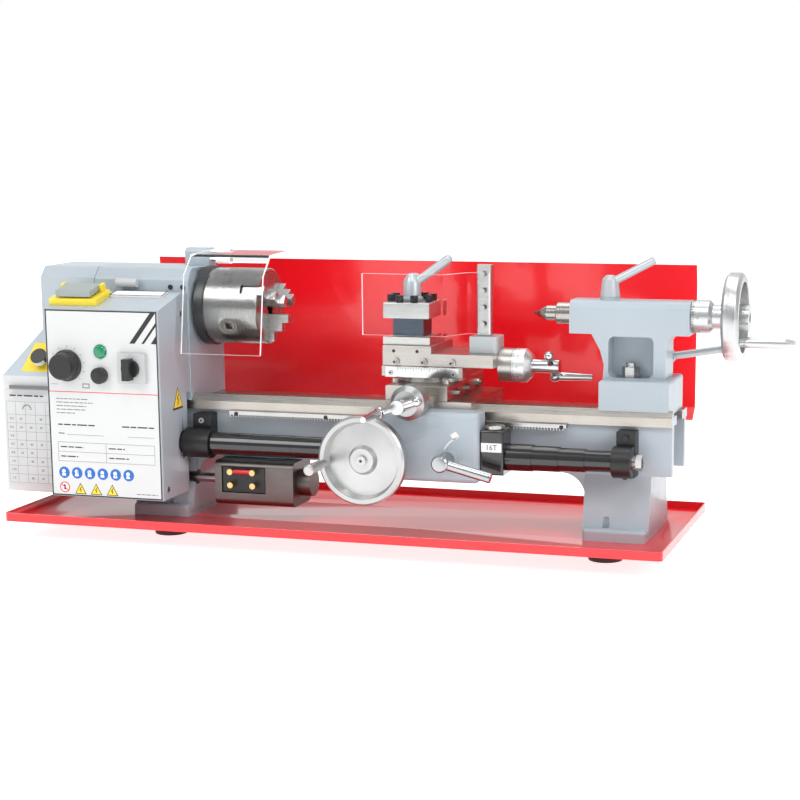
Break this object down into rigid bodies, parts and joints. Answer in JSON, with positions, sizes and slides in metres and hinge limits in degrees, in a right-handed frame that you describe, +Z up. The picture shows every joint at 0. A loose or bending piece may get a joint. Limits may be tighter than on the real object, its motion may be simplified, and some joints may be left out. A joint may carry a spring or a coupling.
{
  "type": "metal lathe",
  "caption": "Bench metal lathe: grey bed on a red drip tray, headstock with chuck and control box, carriage with compound slide and toolpost, tailstock and splash guard.",
  "frame": {"origin": "centre of the bench-bolt pattern on the bench, under the rubber feet", "axes": "+X along the bed from headstock to tailstock, +Y away from the operator, +Z up"},
  "size_m": [0.8325, 0.307, 0.2995],
  "materials": {
    "grey_paint": "satin hammered enamel",
    "red_paint": "gloss enamel",
    "white_panel": "printed film",
    "black_paint": "gloss enamel",
    "black_gloss": "gloss",
    "black_plastic": "satin",
    "grey_plastic": "satin",
    "green_plastic": "gloss",
    "red_plastic": "gloss",
    "yellow_plastic": "gloss",
    "clear_plastic": "clear",
    "rubber": "matt",
    "steel": "turned",
    "black_steel": "oil blackened",
    "ground_iron": "ground",
    "aluminium": "machined",
    "cast_aluminium": "satin cast",
    "chrome": "polished",
    "brass": "machined"
  },
  "bodies": {
    "root": {"rubber_feet": "rubber", "drip_tray": "red_paint", "splash_guard": "red_paint", "bed": "grey_paint", "bed_rack": "steel", "headstock": "grey_paint", "spindle_bearings": "steel", "gear_cover": "grey_paint", "control_box": "grey_paint", "control_panel": "white_panel", "panel_fittings": "black_plastic", "stop_switch_base": "yellow_plastic", "guard_hinge_block": "grey_paint", "motor": "cast_aluminium", "drive_belt": "rubber", "leadscrew_brackets": "black_paint", "left_screw_cover": "black_gloss", "right_screw_cover": "black_gloss"},
    "spindle": {"spindle": "steel", "chuck_body": "steel"},
    "jaw_1": {"chuck_jaw_1": "steel"},
    "jaw_2": {"chuck_jaw_2": "steel"},
    "jaw_3": {"chuck_jaw_3": "steel"},
    "scroll": {"chuck_scroll": "steel"},
    "key_socket": {"chuck_key_socket": "steel"},
    "motor_rotor": {"motor_shaft": "steel"},
    "idler": {"idler_gear": "black_plastic"},
    "stud": {"stud_gear": "black_plastic"},
    "leadscrew": {"leadscrew": "steel"},
    "speed_knob": {"speed_knob": "black_plastic"},
    "rotary_switch": {"rotary_handle": "grey_plastic"},
    "start_button": {"start_button": "green_plastic"},
    "stop_button": {"stop_button": "red_plastic"},
    "stop_flap": {"stop_flap": "grey_plastic"},
    "chuck_guard": {"chuck_guard": "clear_plastic"},
    "carriage": {"saddle": "ground_iron", "apron": "grey_paint", "thread_dial_housing": "black_gloss"},
    "thread_dial": {"thread_dial": "aluminium"},
    "carriage_wheel": {"carriage_handwheel": "aluminium"},
    "rack_pinion": {"rack_pinion": "steel"},
    "half_nut_lever": {"half_nut_lever": "chrome"},
    "upper_half_nut": {"upper_half_nut": "brass"},
    "lower_half_nut": {"lower_half_nut": "brass"},
    "cross_slide": {"cross_slide": "ground_iron"},
    "cross_crank": {"cross_crank": "chrome"},
    "compound": {"compound_base": "ground_iron"},
    "top_slide": {"top_slide": "ground_iron", "guard_post_block": "grey_paint"},
    "compound_crank": {"compound_crank": "chrome"},
    "toolpost": {"toolpost": "steel", "toolpost_bolts": "black_steel"},
    "toolpost_lever": {"toolpost_lever": "cast_aluminium"},
    "toolpost_guard": {"toolpost_guard": "clear_plastic"},
    "tailstock": {"tailstock_body": "grey_paint"},
    "quill": {"tailstock_quill": "steel", "dead_centre": "steel"},
    "tail_wheel": {"tailstock_handwheel": "aluminium"},
    "quill_lock": {"quill_lock_lever": "cast_aluminium"},
    "tail_clamp": {"tailstock_clamp_lever": "cast_aluminium"}
  },
  "joints": [
    {"name": "spindle_spin", "type": "hinge", "parent": "root", "child": "spindle", "pos_m": [0, 0, 0.24], "axis": [1, 0, 0], "continuous": true},
    {"name": "jaw_1_slide", "type": "slide", "parent": "spindle", "child": "jaw_1", "axis": [0, -0.848, 0.5299], "range_m": [-0.003, 0.008]},
    {"name": "jaw_2_slide", "type": "slide", "parent": "spindle", "child": "jaw_2", "axis": [0, 0.8829, 0.4695], "range_m": [-0.003, 0.008]},
    {"name": "jaw_3_slide", "type": "slide", "parent": "spindle", "child": "jaw_3", "axis": [0, -0.0349, -0.9994], "range_m": [-0.003, 0.008]},
    {"name": "scroll_turn", "type": "hinge", "parent": "spindle", "child": "scroll", "pos_m": [0, 0, 0.24], "axis": [1, 0, 0], "range_deg": [-182, 482]},
    {"name": "key_turn", "type": "hinge", "parent": "spindle", "child": "key_socket", "pos_m": [-0.171, 0, 0.24], "axis": [0, -0.8829, -0.4695], "range_deg": [-542, 1442]},
    {"name": "motor_spin", "type": "hinge", "parent": "root", "child": "motor_rotor", "pos_m": [-0.15, -0.038, 0.06], "axis": [1, 0, 0], "continuous": true},
    {"name": "idler_spin", "type": "hinge", "parent": "root", "child": "idler", "pos_m": [-0.37, -0.018, 0.188], "axis": [1, 0, 0], "continuous": true},
    {"name": "stud_spin", "type": "hinge", "parent": "root", "child": "stud", "pos_m": [-0.37, -0.044, 0.137], "axis": [1, 0, 0], "continuous": true},
    {"name": "leadscrew_spin", "type": "hinge", "parent": "root", "child": "leadscrew", "pos_m": [0, -0.062, 0.1015], "axis": [1, 0, 0], "continuous": true},
    {"name": "speed_turn", "type": "hinge", "parent": "root", "child": "speed_knob", "pos_m": [-0.3175, -0.12, 0.1855], "axis": [0, 1, 0], "range_deg": [0, 280]},
    {"name": "rotary_turn", "type": "hinge", "parent": "root", "child": "rotary_switch", "pos_m": [-0.2427, -0.12, 0.1848], "axis": [0, 1, 0], "range_deg": [-60, 60]},
    {"name": "start_press", "type": "slide", "parent": "root", "child": "start_button", "axis": [0, -0.2337, 0.9723], "range_m": [-0.003, 0], "stiffness_N_per_m": 400},
    {"name": "stop_press", "type": "slide", "parent": "root", "child": "stop_button", "axis": [0, -0.2337, 0.9723], "range_m": [-0.003, 0], "stiffness_N_per_m": 400},
    {"name": "stop_flap_lift", "type": "hinge", "parent": "root", "child": "stop_flap", "pos_m": [-0.314, -0.07902, 0.26426], "axis": [1, 0, 0], "range_deg": [-95, 0]},
    {"name": "chuck_guard_lift", "type": "hinge", "parent": "root", "child": "chuck_guard", "pos_m": [-0.16, 0.02, 0.292], "axis": [1, 0, 0], "range_deg": [-90, 0]},
    {"name": "carriage_slide", "type": "slide", "parent": "root", "child": "carriage", "axis": [1, 0, 0], "range_m": [-0.0594, 0], "deforming": ["left_screw_cover", "right_screw_cover"]},
    {"name": "carriage_wheel_turn", "type": "hinge", "parent": "carriage", "child": "carriage_wheel", "pos_m": [0.0057, -0.1, 0.1015], "axis": [0, 1, 0], "range_deg": [-1085, 5]},
    {"name": "rack_pinion_turn", "type": "hinge", "parent": "carriage", "child": "rack_pinion", "pos_m": [0.02662, -0.06, 0.1192], "axis": [0, 1, 0], "range_deg": [-5, 382]},
    {"name": "half_nut_engage", "type": "hinge", "parent": "carriage", "child": "half_nut_lever", "pos_m": [0.0835, -0.1, 0.1], "axis": [0, 1, 0], "range_deg": [0, 40]},
    {"name": "upper_half_nut_slide", "type": "slide", "parent": "carriage", "child": "upper_half_nut", "axis": [0, 0, 1], "range_m": [-0.005, 0]},
    {"name": "lower_half_nut_slide", "type": "slide", "parent": "carriage", "child": "lower_half_nut", "axis": [0, 0, 1], "range_m": [0, 0.005]},
    {"name": "thread_dial_turn", "type": "hinge", "parent": "carriage", "child": "thread_dial", "pos_m": [0.127, -0.066, 0.13], "axis": [0, 0, 1], "range_deg": [-895, 5]},
    {"name": "cross_feed", "type": "slide", "parent": "carriage", "child": "cross_slide", "axis": [0, 1, 0], "range_m": [0, 0.03]},
    {"name": "cross_crank_turn", "type": "hinge", "parent": "carriage", "child": "cross_crank", "pos_m": [0.048, -0.1, 0.158], "axis": [0, 1, 0], "range_deg": [-5, 10805]},
    {"name": "compound_swivel", "type": "hinge", "parent": "cross_slide", "child": "compound", "pos_m": [0.042, 0, 0.17], "axis": [0, 0, 1], "range_deg": [-30, 10]},
    {"name": "top_slide_feed", "type": "slide", "parent": "compound", "child": "top_slide", "axis": [1, 0, 0], "range_m": [-0.02, 0]},
    {"name": "compound_crank_turn", "type": "hinge", "parent": "top_slide", "child": "compound_crank", "pos_m": [0.15, -0.005, 0.1865], "axis": [1, 0, 0], "range_deg": [-7205, 5]},
    {"name": "toolpost_turn", "type": "hinge", "parent": "top_slide", "child": "toolpost", "pos_m": [0.024, -0.008, 0.22], "axis": [0, 0, 1], "range_deg": [-90, 180]},
    {"name": "toolpost_clamp", "type": "hinge", "parent": "top_slide", "child": "toolpost_lever", "pos_m": [0.024, -0.008, 0.26], "axis": [0, 0, 1], "range_deg": [-60, 30]},
    {"name": "toolpost_guard_swing", "type": "hinge", "parent": "top_slide", "child": "toolpost_guard", "pos_m": [0.0995, -0.005, 0.23], "axis": [0, 0, 1], "range_deg": [0, 90]},
    {"name": "tailstock_slide", "type": "slide", "parent": "root", "child": "tailstock", "axis": [1, 0, 0], "range_m": [0, 0.02]},
    {"name": "quill_feed", "type": "slide", "parent": "tailstock", "child": "quill", "axis": [1, 0, 0], "range_m": [-0.03, 0.013]},
    {"name": "tail_wheel_turn", "type": "hinge", "parent": "tailstock", "child": "tail_wheel", "pos_m": [0.35, 0, 0.24], "axis": [1, 0, 0], "range_deg": [-7205, 3125]},
    {"name": "quill_lock_turn", "type": "hinge", "parent": "tailstock", "child": "quill_lock", "pos_m": [0.228, 0, 0.26], "axis": [0, 0, 1], "range_deg": [-60, 45]},
    {"name": "tail_clamp_turn", "type": "hinge", "parent": "tailstock", "child": "tail_clamp", "pos_m": [0.282, 0.02, 0.196], "axis": [0, 1, 0], "range_deg": [-60, 20]}
  ],
  "couplings": [
    {"joint": "jaw_2_slide", "follows": "jaw_1_slide", "ratio": 1},
    {"joint": "jaw_3_slide", "follows": "jaw_1_slide", "ratio": 1},
    {"joint": "scroll_turn", "follows": "jaw_1_slide", "rad_per_m": 1047.2},
    {"joint": "key_turn", "follows": "jaw_1_slide", "rad_per_m": 3141.6},
    {"joint": "motor_spin", "follows": "spindle_spin", "ratio": 2.81},
    {"joint": "carriage_wheel_turn", "follows": "carriage_slide", "rad_per_m": 317.46},
    {"joint": "rack_pinion_turn", "follows": "carriage_slide", "rad_per_m": -111.11},
    {"joint": "thread_dial_turn", "follows": "carriage_slide", "rad_per_m": 261.8},
    {"joint": "upper_half_nut_slide", "follows": "half_nut_engage", "m_per_rad": -0.00716},
    {"joint": "lower_half_nut_slide", "follows": "half_nut_engage", "m_per_rad": 0.00716},
    {"joint": "cross_crank_turn", "follows": "cross_feed", "rad_per_m": 6283.2},
    {"joint": "compound_crank_turn", "follows": "top_slide_feed", "rad_per_m": 6283.2},
    {"joint": "tail_wheel_turn", "follows": "quill_feed", "rad_per_m": 4188.8}
  ]
}
